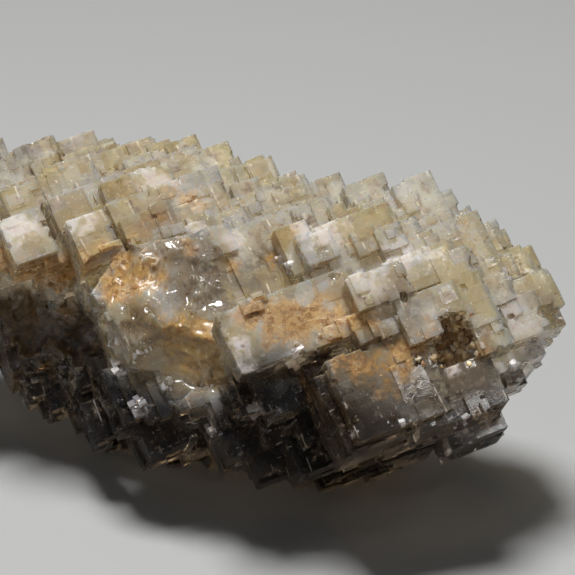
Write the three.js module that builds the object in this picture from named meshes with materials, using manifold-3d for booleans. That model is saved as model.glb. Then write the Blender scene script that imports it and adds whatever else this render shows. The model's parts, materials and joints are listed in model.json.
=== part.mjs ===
// A fluorite specimen: one long cluster of cubes that grew side by side on one lattice,
// stepped all over, with an old break and a hollow on its front left, a small pocket near
// its right end, and a flat cut underneath where it left its rock.
//
// Frame: +Z up, X along the width seen from the front, +Y away from the front, with the
// origin at the middle of the bounding box's underside. Millimetres.
//
// The cluster is laid out about a working point inside it, and moved to that origin last.

import * as THREE from "three";
import { mergeVertices } from "three/addons/utils/BufferGeometryUtils.js";
import Module from "manifold-3d";

const wasm = await Module();
wasm.setup();

// ---------------------------------------------------------------- driving dimensions

// The long body that the cubes grow on.
const BODY = {
  turn: 22, // degrees about Z: the right end comes forward
  centre: [0, 2.9, -5.7], // where the stations' zero lies
  roundness: 2.5, // exponent of each section: 2 is an ellipse, more is squarer
  // sections from left to right: along, half depth, half height, up
  stations: [
    [-45, 2, 3, 2.5],
    [-41, 7, 8, 2],
    [-33, 10, 11.5, 1.6],
    [-22, 11.5, 14, 1.4],
    [-13, 12, 15.8, 0.2],
    [0, 12, 14, 0.4],
    [8, 12, 13.8, 0.8],
    [15, 11, 12, 2.8],
    [20, 9.5, 9.3, 3.4],
    [24.5, 6.5, 5.2, 4.4],
    [27, 2.5, 2.5, 5.5],
  ],
};

// A lobe low at the back, which the cut underneath goes through.
const FOOT = { along: -6, back: 1.8, up: -5, half: [21, 9, 13.5] };
const CUT_HEIGHT = -22;

// A hollow in the front, left of the break: where it is sighted, and its half sizes.
const HOLLOW = { at: [-26, -5], proud: 1, half: [8.5, 5.5, 7.5] };

// How the cube axes lie (degrees), the step that cube faces keep to, and how far the cubes
// that are placed one by one stray from the lattice (degrees).
const CUBES = { yaw: 12.3, pitch: -43, roll: -15.8, step: 0.25, stray: 1.6, seed: 3 };

// The cubes that cover the body: how many are tried, how far apart, how big, and how much
// lower they sit on the front, under the cubes that are placed there one by one.
const GROWTH = { seed: 7, tries: 2600, spacing: 3, smallest: 3, largest: 6, sunk: 1.2 };
const CORE = { cell: 4, share: 0.7 };

// The front is sighted from here: degrees above the horizon, and the distance.
const SIGHT = { elevation: 24, distance: 280 };

// Cubes on the skyline, left to right. Each row is where the cube's upper right corner is
// sighted (across, up), how far it stands proud, and its width, height and depth.
const SKYLINE = [
  [-28.5, 15.0, 0, 4, 5, 5],
  [-23.5, 15.3, 0, 4.5, 5, 5],
  [-19.5, 15.9, 0, 4, 5, 5],
  [-17.4, 14.7, 0, 2, 4, 5],
  [-13.8, 15.2, 0, 2.8, 4, 5],
  [-11.9, 14.9, 0, 2.5, 4, 5],
  [-9.0, 15.1, 0, 3.5, 4, 5],
  [-6.1, 14.7, 0, 4.5, 5, 5],
  [-2.3, 13.2, 0, 3.5, 4.5, 5],
  [-1.3, 11.7, 0.6, 2.2, 3.5, 5],
  [0.8, 11.5, 0.4, 2, 3, 5],
  [5.1, 11.5, 0, 4.2, 5, 5],
  [9.5, 11.6, 0, 4.5, 5, 5],
  [12.4, 10.9, 0.4, 2.4, 3.5, 5],
  [14.2, 11.7, -1, 3, 5, 5],
  [18.3, 8.3, 0, 2.4, 3, 5],
  [20.8, 6.8, 0, 2.2, 3, 5],
  [23.2, 4.2, 0, 2.5, 4, 5],
  [24.0, 4.0, 0.6, 4, 5, 5],
  [25.5, 1.1, 0, 3, 2.9, 3],
  [26.0, -2.0, 0, 3, 2, 3],
];

// Cubes along the underside, left to right, by the lower left back corner.
const KEEL = [
  [-27.5, -10.8, -2, 3, 4, 5],
  [-25.8, -12.4, -2, 3.2, 4, 5],
  [-23.8, -13.7, -2, 4, 4, 5],
  [-18.2, -17.4, -2, 3.5, 5, 5],
  [-15.2, -17.9, -1.5, 3.5, 5, 5],
  [-12.4, -19.1, -2, 5, 5, 5],
  [-6.2, -18.8, -3, 5.5, 5, 5],
  [0.9, -19.7, -2, 4, 4, 5],
  [5.3, -20.2, -2, 4, 4, 5],
  [8.7, -19.1, -2, 6, 4, 5],
  [15.5, -17.7, -0.5, 6.2, 4.2, 6],
  [21.5, -11.2, -2.5, 2, 2.3, 3],
];

// Cubes on the front, by the upper right corner.
const FRONT = [
  // upper left
  [-19.7, 13.2, 0.8, 6, 4, 5],
  [-25.1, 10.7, 0.6, 4, 3, 5],
  [-24.7, 8.2, 1.2, 4.5, 5, 5],
  [-20.5, 10.1, 0.8, 3.8, 4, 5],
  [-18.5, 8.0, 1.2, 4, 5, 5],
  [-15.9, 11.1, 0.6, 3, 4.5, 5],
  [-13.7, 13.5, 0.4, 3, 3, 5],
  [-12.0, 12.6, 1.6, 5.2, 4.2, 5],
  [-12.0, 8.6, 0.6, 5.2, 4.4, 5],
  [-8.7, 13.5, 0.5, 3, 3.5, 5],
  [-5.6, 12.0, 0.6, 3.5, 4, 5],
  [-3.1, 11.0, 0.8, 3, 3.5, 5],
  [-0.6, 10.2, 0.6, 3, 3.5, 5],
  [-6.2, 6.6, 1.0, 4.5, 3, 5],
  // upper middle
  [1.7, 6.8, 1.2, 3.3, 5, 5],
  [1.9, 8.5, 1.6, 2, 3.2, 5],
  [4.1, 5.9, 1.9, 3.3, 3, 5],
  [9.6, 9.0, 0.9, 6, 4, 5],
  [8.5, 6.2, 0.6, 2.5, 2.5, 5],
  [11.1, 6.6, 0.8, 2.8, 2.5, 5],
  [12.7, 7.3, 0.6, 3, 3, 5],
  [16.3, 8.3, 0.6, 3.5, 3.5, 5],
  [19.0, 6.2, 0.6, 3.5, 2.8, 5],
  // the long ledge right of the middle, and the face under it
  [15.9, 4.2, 1.3, 5.5, 3.2, 6],
  [11.1, 2.6, 1.7, 5.6, 3.4, 6],
  [16.5, 1.0, 1.0, 6.2, 4.6, 6],
  [11.1, -1.0, 0.6, 5.5, 3, 6],
  // right end
  [22.4, 3.5, 0.6, 4.6, 2.5, 5],
  [21.5, 1.8, 0.9, 3.5, 3, 5],
  [24.7, -0.2, 1.2, 4, 4.2, 4],
  [21.0, -2.0, 0.8, 3.6, 3.8, 4],
  [23.2, -7.4, 0.4, 2, 1.6, 4],
  // the slab in the middle
  [5.5, 2.2, 1.5, 13.5, 6.4, 6],
  [-6.3, -3.4, 2.4, 2.2, 9.4, 6],
  [-1.8, -3.2, 1.6, 4, 9, 6],
  [5.8, -6.4, -0.4, 4.6, 3, 5],
  // below the slab
  [-0.2, -8.6, 0.2, 4, 5, 5],
  [3.5, -9.5, 0, 4, 5, 5],
  [4.2, -13.2, 0.4, 5, 4, 5],
  [-0.2, -14.2, 0.4, 4, 3.5, 5],
  // the biggest cube, low on the right, and its neighbours
  [13.1, -3.9, 1.3, 10, 8.4, 6],
  [11.9, -5.4, 0.5, 10, 8, 6],
  [20.0, -6.4, 1.4, 9.2, 5, 6],
  // low on the left
  [-13.0, -6.6, 1.6, 3.5, 6, 5],
  [-9.0, -6.4, 1.8, 4, 5, 5],
  [-16.0, -7.7, 2.6, 2.6, 5.5, 6],
  [-7.1, -9.0, 2.2, 2, 8, 6],
  [-11.0, -11.1, 1.0, 5, 4.5, 5],
  [-18.6, -11.1, 0.4, 2, 4, 5],
];

// The broken mass on the front left: where its middle is sighted, and its half sizes.
const BREAK = { at: [-9.4, -2], proud: -1.1, half: [10.4, 5.8, 7.2], bumps: 0.03, detail: 3 };

// What broke away from it. Each row is the direction that the scar faces (across, up,
// out), how far out it lies from the middle, and the radius that the scar curves with.
const SCARS = [
  [0.25, 0.35, 0.9, 3.7, 24],
  [-0.55, 0.3, 0.78, 5.2, 60],
  [-0.2, -0.5, 0.84, 5.0, 40],
  [0.55, -0.55, 0.62, 5.6, 60],
  [-0.85, -0.35, 0.4, 7.6, 60],
];

// The pocket and two smaller pits: where each is sighted, how deep its middle lies below
// the envelope (less than 0) or above it, and its half sizes.
const PITS = [
  { at: [16.4, -4.9], proud: 1.4, half: [2.3, 2.8, 2.2], bumps: 0.18, detail: 2 },
  { at: [13.2, -7.6], proud: 1.4, half: [1.6, 1.5, 0.8], bumps: 0.18, detail: 2 },
  { at: [18.0, 0.1], proud: 1.0, half: [0.8, 0.8, 0.5], bumps: 0.18, detail: 1 },
];

// ---------------------------------------------------------------- small tools

const radians = THREE.MathUtils.degToRad;

// Repeatable numbers from 0 to 1.
function randomFrom(seed) {
  let state = seed >>> 0;
  return () => {
    state = (state + 0x6d2b79f5) >>> 0;
    let mixed = Math.imul(state ^ (state >>> 15), 1 | state);
    mixed = (mixed + Math.imul(mixed ^ (mixed >>> 7), 61 | mixed)) ^ mixed;
    return ((mixed ^ (mixed >>> 14)) >>> 0) / 2 ** 32;
  };
}

function toSolid(geometry) {
  const plain = geometry.clone();
  plain.deleteAttribute("normal");
  plain.deleteAttribute("uv");
  const merged = mergeVertices(plain, 1e-4);
  return new wasm.Manifold(
    new wasm.Mesh({
      numProp: 3,
      vertProperties: new Float32Array(merged.attributes.position.array),
      triVerts: new Uint32Array(merged.index.array),
    }),
  );
}

function toGeometry(solid) {
  const mesh = solid.getMesh();
  return new THREE.BufferGeometry()
    .setAttribute("position", new THREE.BufferAttribute(mesh.vertProperties, 3))
    .setIndex(new THREE.BufferAttribute(mesh.triVerts, 1));
}

// One solid from many, joined two by two.
function joined(solids) {
  let left = solids;
  while (left.length > 1) {
    const next = [];
    for (let i = 0; i < left.length; i += 2)
      next.push(i + 1 < left.length ? left[i].add(left[i + 1]) : left[i]);
    left = next;
  }
  return left[0];
}

// ---------------------------------------------------------------- the body's envelope

const bodyTurn = radians(BODY.turn);
const along = new THREE.Vector3(Math.cos(bodyTurn), -Math.sin(bodyTurn), 0);
const forward = new THREE.Vector3(-Math.sin(bodyTurn), -Math.cos(bodyTurn), 0);
const bodyCentre = new THREE.Vector3(...BODY.centre);

// The half depth, half height and rise of the section at a place along the body.
function sectionAt(place) {
  const rows = BODY.stations;
  const i = rows.findIndex((row) => row[0] > place);
  const before = rows[i - 1];
  const after = rows[i];
  const share = (place - before[0]) / (after[0] - before[0]);
  return before.slice(1).map((value, k) => value + (after[k + 1] - value) * share);
}

// Below 1 inside a rounded box whose half sizes the parts are measured in.
function within(...parts) {
  return parts.reduce((sum, part) => sum + Math.pow(Math.abs(part), BODY.roundness), 0);
}

const FAR_OUTSIDE = 9; // the reach of a point past either end

// The body and its foot, without the hollow: below 1 inside, 1 on the envelope.
function bodyReach(point) {
  const local = point.clone().sub(bodyCentre);
  const place = local.dot(along);
  const ahead = local.dot(forward);
  const foot = within(
    (place - FOOT.along) / FOOT.half[0],
    (ahead + FOOT.back) / FOOT.half[1],
    (local.z - FOOT.up) / FOOT.half[2],
  );
  if (place <= BODY.stations[0][0] || place >= BODY.stations.at(-1)[0]) return FAR_OUTSIDE;
  const [depth, height, rise] = sectionAt(place);
  return Math.min(foot, within(ahead / depth, (local.z - rise) / height));
}

// The same with the hollow taken out.
function reach(point) {
  const away = point.clone().sub(hollowCentre);
  const [length, depth, height] = HOLLOW.half;
  const hollow = within(
    away.dot(along) / length,
    away.dot(forward) / depth,
    away.z / height,
  );
  return Math.max(bodyReach(point), hollow < 1 ? 2 - hollow : 0);
}

// The direction in which the envelope is left quickest.
function outward(point) {
  const probe = 0.2;
  const slope = (x, y, z) =>
    reach(point.clone().add(new THREE.Vector3(x, y, z))) -
    reach(point.clone().sub(new THREE.Vector3(x, y, z)));
  return new THREE.Vector3(
    slope(probe, 0, 0),
    slope(0, probe, 0),
    slope(0, 0, probe),
  ).normalize();
}

// ---------------------------------------------------------------- sighting from the front

const sightRise = radians(SIGHT.elevation);
const sightUp = new THREE.Vector3(0, Math.sin(sightRise), Math.cos(sightRise));
const sightOut = new THREE.Vector3(0, -Math.cos(sightRise), Math.sin(sightRise));
const eye = sightOut.clone().multiplyScalar(SIGHT.distance);

// The point sighted at (across, up) on the plane through the working point: where the line
// of sight meets the envelope, or passes nearest to it, and then a little nearer the eye.
function sighted(across, up, proud, measure = reach) {
  const aim = new THREE.Vector3(across, 0, 0).addScaledVector(sightUp, up);
  const line = aim.sub(eye).normalize();
  const nearest = { value: Infinity, distance: 0 };
  const span = 45;
  for (let t = SIGHT.distance - span; t < SIGHT.distance + span; t += 0.1) {
    const value = measure(eye.clone().addScaledVector(line, t));
    if (value < nearest.value) Object.assign(nearest, { value, distance: t });
    if (value < 1) break;
  }
  return eye.clone().addScaledVector(line, nearest.distance - proud);
}

const hollowCentre = sighted(...HOLLOW.at, HOLLOW.proud, bodyReach);

// ---------------------------------------------------------------- the cubes

const lattice = new THREE.Matrix4().makeRotationFromEuler(
  new THREE.Euler(radians(CUBES.pitch), radians(CUBES.roll), radians(CUBES.yaw), "ZXY"),
);
const latticeBack = lattice.clone().transpose();
const snap = (value) => Math.round(value / CUBES.step) * CUBES.step;
const strayRandom = randomFrom(CUBES.seed);

// A cube or block from its lowest and highest corners in lattice coordinates, turned off
// the lattice about its middle by up to the given angle in degrees.
function block(low, high, straying = 0) {
  const size = high.map((value, i) => value - low[i]);
  const middle = low.map((value, i) => value + size[i] / 2);
  const stray = () => radians(straying) * (2 * strayRandom() - 1);
  const turn = new THREE.Euler(stray(), stray(), stray());
  return toSolid(
    new THREE.BoxGeometry(...size)
      .applyMatrix4(new THREE.Matrix4().makeRotationFromEuler(turn))
      .translate(...middle),
  );
}

// A cube placed by a row of SKYLINE or FRONT. Lattice x is the width, y the depth and z
// the height of a cube seen from the front.
function fromUpperRight([across, up, proud, width, height, depth]) {
  const corner = sighted(across, up, proud).applyMatrix4(latticeBack);
  const [x, y, z] = corner.toArray().map(snap);
  return block([x - width, y, z - height], [x, y + depth, z], CUBES.stray);
}

// A cube placed by a row of KEEL.
function fromLowerLeft([across, up, proud, width, height, depth]) {
  const corner = sighted(across, up, proud).applyMatrix4(latticeBack);
  const [x, y, z] = corner.toArray().map(snap);
  return block([x, y - depth, z], [x + width, y, z + height], CUBES.stray);
}

// The inside of the cluster: lattice cells well within the envelope, joined into runs.
function coreBlocks() {
  const half = CORE.cell / 2;
  const span = 60;
  const runs = new Map();
  for (let x = -span; x <= span; x += CORE.cell)
    for (let y = -span; y <= span; y += CORE.cell)
      for (let z = -span; z <= span; z += CORE.cell) {
        if (reach(new THREE.Vector3(x, y, z).applyMatrix4(lattice)) > CORE.share) continue;
        const key = x + "," + y;
        const run = runs.get(key) ?? { x, y, low: z, high: z };
        run.high = z;
        runs.set(key, run);
      }
  return [...runs.values()].map(({ x, y, low, high }) =>
    block([x - half, y - half, low - half], [x + half, y + half, high + half]),
  );
}

// A block whose outer corner sits at a seat on the envelope, and which reaches inwards.
function grownBlock(seat, normal, size, random) {
  const lean = normal
    .clone()
    .applyMatrix4(latticeBack)
    .multiplyScalar(1.7)
    .clampScalar(-1, 1)
    .toArray();
  const corner = seat.clone().applyMatrix4(latticeBack).toArray();
  const low = [];
  const high = [];
  lean.forEach((amount, i) => {
    const width = size * (0.8 + 0.5 * random());
    const middle = corner[i] - (amount * width) / 2;
    const deep = 1 + 0.8 * Math.abs(amount);
    low.push(snap(middle - (width / 2) * (amount > 0 ? deep : 1)));
    high.push(snap(middle + (width / 2) * (amount < 0 ? deep : 1)));
  });
  return block(low, high);
}

// Blocks all over the envelope, at least a spacing apart.
function coverBlocks() {
  const random = randomFrom(GROWTH.seed);
  const seats = [];
  const made = [];
  const first = BODY.stations[0][0];
  const last = BODY.stations.at(-1)[0];
  for (let n = 0; n < GROWTH.tries; n++) {
    const start = bodyCentre.clone().addScaledVector(along, first + (last - first) * random());
    const angle = 2 * Math.PI * random();
    const size = GROWTH.smallest + (GROWTH.largest - GROWTH.smallest) * random() ** 2;
    const ray = forward.clone().multiplyScalar(Math.cos(angle));
    ray.z = Math.sin(angle);
    let out = 30;
    while (out > 0 && reach(start.clone().addScaledVector(ray, out)) > 1) out -= CUBES.step;
    const seat = start.addScaledVector(ray, out);
    const normal = outward(seat);
    if (normal.dot(sightOut) > 0.1) seat.addScaledVector(normal, -GROWTH.sunk);
    if (out <= 0 || seats.some((other) => other.distanceTo(seat) < GROWTH.spacing)) continue;
    seats.push(seat);
    made.push(grownBlock(seat, normal, size, random));
  }
  return made;
}

// ---------------------------------------------------------------- break and pits

// The frame of the front at a sighted place: X across, Y inwards, Z up.
function frontFrame(at, proud) {
  return new THREE.Matrix4()
    .makeBasis(new THREE.Vector3(1, 0, 0), sightOut.clone().negate(), sightUp)
    .setPosition(sighted(...at, proud));
}

// A bumpy ball, stretched, and set where it is sighted.
function lump({ at, proud, half, bumps, detail }, seed) {
  const ball = new THREE.IcosahedronGeometry(1, detail);
  ball.deleteAttribute("normal");
  ball.deleteAttribute("uv");
  const shape = mergeVertices(ball, 1e-4);
  const random = randomFrom(seed);
  const position = shape.attributes.position;
  const point = new THREE.Vector3();
  for (let i = 0; i < position.count; i++) {
    point.fromBufferAttribute(position, i);
    point.multiplyScalar(1 + bumps * (2 * random() - 1)).multiply(new THREE.Vector3(...half));
    position.setXYZ(i, point.x, point.y, point.z);
  }
  return toSolid(shape.applyMatrix4(frontFrame(at, proud)));
}

// The ball that a scar's surface is part of.
function scarBall([across, up, out, distance, radius]) {
  const toward = new THREE.Vector3(across, -out, up).normalize();
  const middle = toward.multiplyScalar(distance + radius);
  const ball = new THREE.SphereGeometry(radius, 40, 28).translate(...middle.toArray());
  return toSolid(ball.applyMatrix4(frontFrame(BREAK.at, BREAK.proud)));
}

// ---------------------------------------------------------------- the cluster

function cluster() {
  const blocks = joined([
    ...coreBlocks(),
    ...coverBlocks(),
    ...SKYLINE.map(fromUpperRight),
    ...KEEL.map(fromLowerLeft),
    ...FRONT.map(fromUpperRight),
  ]);
  const cubes = toSolid(toGeometry(blocks).applyMatrix4(lattice));
  const broken = lump(BREAK, 11).subtract(joined(SCARS.map(scarBall)));
  const pits = joined(PITS.map((pit, i) => lump(pit, 20 + i)));
  const high = 100;
  const aboveCut = new THREE.BoxGeometry(2 * high, 2 * high, high);
  aboveCut.translate(0, 0, CUT_HEIGHT + high / 2);
  return cubes.add(broken).subtract(pits).intersect(toSolid(aboveCut));
}

const geometry = toGeometry(cluster());
geometry.computeBoundingBox();
const { min, max } = geometry.boundingBox;
geometry.translate(-(min.x + max.x) / 2, -(min.y + max.y) / 2, -min.z);

const fluorite = new THREE.MeshStandardMaterial({
  color: 0xd9cfae,
  roughness: 0.3,
  metalness: 0,
});
const cubeCluster = new THREE.Mesh(geometry, fluorite);
cubeCluster.name = "fluorite_cluster";

const specimen = new THREE.Group();
specimen.add(cubeCluster);

export default specimen;
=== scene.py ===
"""The looks of a fluorite specimen: one cluster of pale cubes grown on one lattice.

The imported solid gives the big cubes. This script grows the fine ones on them, breaks and
stains the surface, and makes one see-through piece that stands for the solid. Driving
values are millimetres and degrees; meshes are in metres.
"""

import json
import math

import bmesh
import bpy
import numpy as np
from mathutils import Euler, Matrix, Vector, noise
from mathutils.bvhtree import BVHTree

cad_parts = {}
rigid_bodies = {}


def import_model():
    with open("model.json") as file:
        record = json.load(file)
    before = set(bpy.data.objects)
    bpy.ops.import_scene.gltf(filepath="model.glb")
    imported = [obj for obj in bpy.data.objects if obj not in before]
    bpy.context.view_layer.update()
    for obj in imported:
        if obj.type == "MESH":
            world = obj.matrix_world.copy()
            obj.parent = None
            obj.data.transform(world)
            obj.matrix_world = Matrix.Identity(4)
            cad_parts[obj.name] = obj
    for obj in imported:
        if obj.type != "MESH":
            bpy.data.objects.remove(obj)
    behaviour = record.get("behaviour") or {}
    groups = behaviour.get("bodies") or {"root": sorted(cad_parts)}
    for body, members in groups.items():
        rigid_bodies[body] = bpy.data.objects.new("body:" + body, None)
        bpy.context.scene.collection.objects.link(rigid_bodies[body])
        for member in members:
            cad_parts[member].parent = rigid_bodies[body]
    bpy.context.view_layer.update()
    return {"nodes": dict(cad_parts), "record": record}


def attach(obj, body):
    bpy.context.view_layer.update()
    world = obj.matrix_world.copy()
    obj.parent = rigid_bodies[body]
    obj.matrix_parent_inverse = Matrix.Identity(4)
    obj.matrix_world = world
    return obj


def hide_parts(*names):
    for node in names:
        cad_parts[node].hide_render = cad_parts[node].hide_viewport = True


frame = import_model()

MM = 0.001
NODE = "fluorite_cluster"

# -------- driving values

# How the cube axes lie: yaw, then pitch, then roll.
LATTICE = {"yaw": 12.3, "pitch": -43.0, "roll": -15.8}

# The base mount lies here from the middle that the cluster was laid out about.
MOUNT_FROM_MIDDLE = (-5.5, 7.0, -22.0)

# The camera's angle and distance, the width that it sees there, and what it leaves out.
CAMERA = {
    "elevation": 24.0,
    "distance": 280.0,
    "width": 57.5,
    "sensor": 36.0,
    "nearest": 10.0,
    "farthest": 20000.0,
}

# A face whose normal leans along a lattice axis at least this much is on the lattice.
ON_LATTICE = 0.985

# Blocks grown on the big cubes. Room is measured just inside and just outside a face, by this
# probe and up to these reaches: a place with a wall nearer than valley_room outside it is in a
# valley, and one with less than edge_room inside is at an edge. A block's arms reach out along
# its face by a share of its size. The rows give, larger blocks first, how many are tried, their
# sizes, and for each zone the share that is kept and how far it stands proud at most.
GROWTH = {
    "seed": 11,
    "stray": 1.4,
    "probe": 0.12,
    "inside_reach": 6.0,
    "outside_reach": 1.0,
    "valley_room": 0.9,
    "edge_room": 1.3,
    "least_proud": 0.15,
    "least_depth": 0.8,
    "arms": (0.3, 0.8),
    "rows": [
        {
            "tries": 900,
            "smallest": 1.2,
            "largest": 3.4,
            "share": {"valley": 0.8, "edge": 0.45, "face": 0.15},
            "proud": {"valley": 0.9, "edge": 0.45, "face": 0.12},
        },
        {
            "tries": 3200,
            "smallest": 0.4,
            "largest": 2.0,
            "share": {"valley": 0.8, "edge": 0.75, "face": 0.12},
            "proud": {"valley": 0.35, "edge": 0.14, "face": 0.05},
        },
    ],
}

# Small bites out of the edges: how many are tried, their sizes, how deep inside the room is
# measured and how far, and the share that are rough lumps. The others are blocks. Where a lump
# lies, its radius and a block's half widths go by the bite's size.
BITES = {
    "tries": 900,
    "smallest": 0.15,
    "largest": 0.9,
    "probe": 0.1,
    "reach": 1.5,
    "lumps": 0.6,
    "lump_out": 0.3,
    "lump_radius": 0.8,
    "half": (0.3, 0.9),
    "stray": 3,
}

# The broken mass on the front left. Each scar: where it is sighted (across, up), the way it
# faces (across, up, out), how deep it goes, the radius it curves with, and where its ripples
# start, along its own two directions.
SCARS = [
    [(-8.0, 0.6), (-0.02, 0.18, 1.00), 0.42, 20, (-5.0, 3.0)],
    [(-12.3, 2.6), (-0.40, 0.60, 0.70), 0.40, 7, (2.0, 2.0)],
    [(-16.8, 0.2), (-0.50, 0.50, 0.70), 0.40, 8, (2.0, -2.0)],
    [(-18.8, -3.2), (-0.90, -0.10, 0.45), 0.40, 5, (0.0, 3.0)],
    [(-15.5, -3.7), (-0.40, -0.20, 0.90), 0.35, 8, (3.0, 2.0)],
    [(-12.8, -2.4), (-0.15, 0.30, 0.94), 0.30, 6, (2.0, -3.0)],
    [(-11.6, -5.0), (0.00, -0.50, 0.86), 0.50, 8, (2.0, 3.0)],
    [(-8.3, -6.4), (0.15, -0.65, 0.75), 0.40, 7, (-2.0, 3.0)],
    [(-6.3, -8.8), (0.10, -0.75, 0.65), 0.30, 5, (-1.0, 2.0)],
    [(-12.2, -8.5), (-0.20, -0.70, 0.68), 0.32, 5, (1.0, 3.0)],
    [(-14.4, 0.6), (-0.10, 0.50, 0.86), 0.30, 5, (1.0, -3.0)],
]

# The pocket near the right end: rough balls cut out of it (across, up, out, radius).
POCKET = [
    (15.6, -3.4, -0.4, 1.0), (17.2, -3.2, -0.4, 0.9), (16.4, -4.6, -1.0, 1.5),
    (18.1, -4.6, -0.7, 1.2), (14.6, -5.2, -0.3, 0.8), (16.0, -6.0, -0.7, 1.0),
    (18.4, -5.6, -0.4, 0.7), (13.0, -7.6, -0.3, 0.5), (15.0, -7.2, -0.2, 0.4),
]

# The stained hollow on the left: shallow rough bowls (across, up, out, radius).
HOLLOW = [
    (-26.5, -0.5, 2.5, 3.1), (-23.0, -1.6, 2.2, 2.8), (-25.4, -5.0, 2.6, 3.2),
    (-21.5, -5.2, 2.0, 2.6), (-27.5, -8.0, 2.4, 3.0), (-20.6, -0.9, 1.4, 1.9),
    (-23.5, -8.6, 2.0, 2.6),
]

# Narrow clear crystals in the dark lower half: where each is sighted (across, up), its width
# and length along the lattice, and how far it stands proud of the face.
LATHS = [
    (-15.8, -10.0, 1.7, 6.6, 0.7), (-12.9, -11.2, 1.2, 4.0, 0.5), (-4.6, -9.6, 1.6, 6.6, 0.7),
    (-2.6, -10.4, 1.3, 4.6, 0.5), (-6.8, -12.6, 1.0, 3.4, 0.5), (-20.5, -11.0, 1.4, 4.0, 0.6),
]

# Earthy grains, and chips of crystal: where they lie (across, up, reach, how many), and their
# sizes. Grains lie on the pocket's walls too. A chip's width and thickness go by its length.
GRAINS = {
    "in_pocket": 280,
    "smallest": 0.08,
    "largest": 0.42,
    "spots": [
        (15.4, -7.2, 0.9, 16), (17.6, -6.6, 0.9, 16),
    ],
}
CHIPS = {
    "smallest": 0.12,
    "largest": 0.75,
    "width": (0.4, 0.8),
    "thickness": (0.2, 0.6),
    "stray": 180,
    "spots": [
        (-17.5, -5.5, 1.2, 14), (-14.5, -6.8, 1.2, 14), (-12, -9.4, 1, 12),
        (-8, -10.6, 1, 10), (-19.4, -0.6, 0.8, 10), (-19, -3, 0.8, 10),
        (-14, 3, 1.6, 12), (-10, 4.2, 1.6, 12), (16.2, -7.4, 1.2, 26), (18.9, -6.4, 0.8, 14),
        (14, -5.6, 0.9, 12), (15.5, -2.6, 0.8, 8), (12.8, -7.8, 0.8, 8), (3, -5.6, 2.2, 16),
        (4, 3.2, 1.4, 10), (-0.2, 2.4, 0.5, 8), (0.4, 1.6, 0.4, 4), (-23, 1.6, 2.5, 14),
        (-24, -7, 1.2, 8), (-22.4, -8.5, 1, 6), (-17.3, -8.4, 0.8, 6), (-15, -12, 0.8, 6),
        (-7.8, -14, 0.6, 5), (-3, -11.9, 0.8, 6), (-1, -12.3, 0.5, 5), (0.7, -6.5, 0.5, 4),
        (6.5, -14.5, 0.6, 4), (17.6, -14.3, 0.8, 6), (22.6, -9, 0.8, 6),
    ],
}

# Small cleavage chips that all face nearly one way: that way (across, up, out), how far each
# strays from it, their sizes, their half width by their length, their half thickness, and where
# they lie (across, up, reach, how many).
BRIGHT_CHIPS = {
    "facing": (-0.08, 0.63, 0.77),
    "stray": 11.0,
    "smallest": 0.12,
    "largest": 0.9,
    "width": (0.2, 0.4),
    "half_thickness": 0.2,
    "spots": [
        (-16.9, -7.8, 0.8, 12), (-15, -11.6, 0.9, 14), (-3.2, -12, 0.8, 12),
        (-0.9, -12.3, 0.5, 6), (-7.7, -14, 0.4, 4), (24.6, -5.7, 1.4, 14), (22.8, -8.2, 0.9, 8),
        (-0.5, 3, 0.3, 5), (0.1, 2.2, 0.3, 5), (6.6, -14.4, 0.4, 3), (-22.8, -8, 1.4, 10),
        (-26, -10, 1.4, 6), (17.4, -13.6, 1.2, 12), (12, -14, 1.6, 6), (1, -6.4, 0.6, 4),
        (-19, -2, 0.8, 6),
    ],
}

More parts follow.
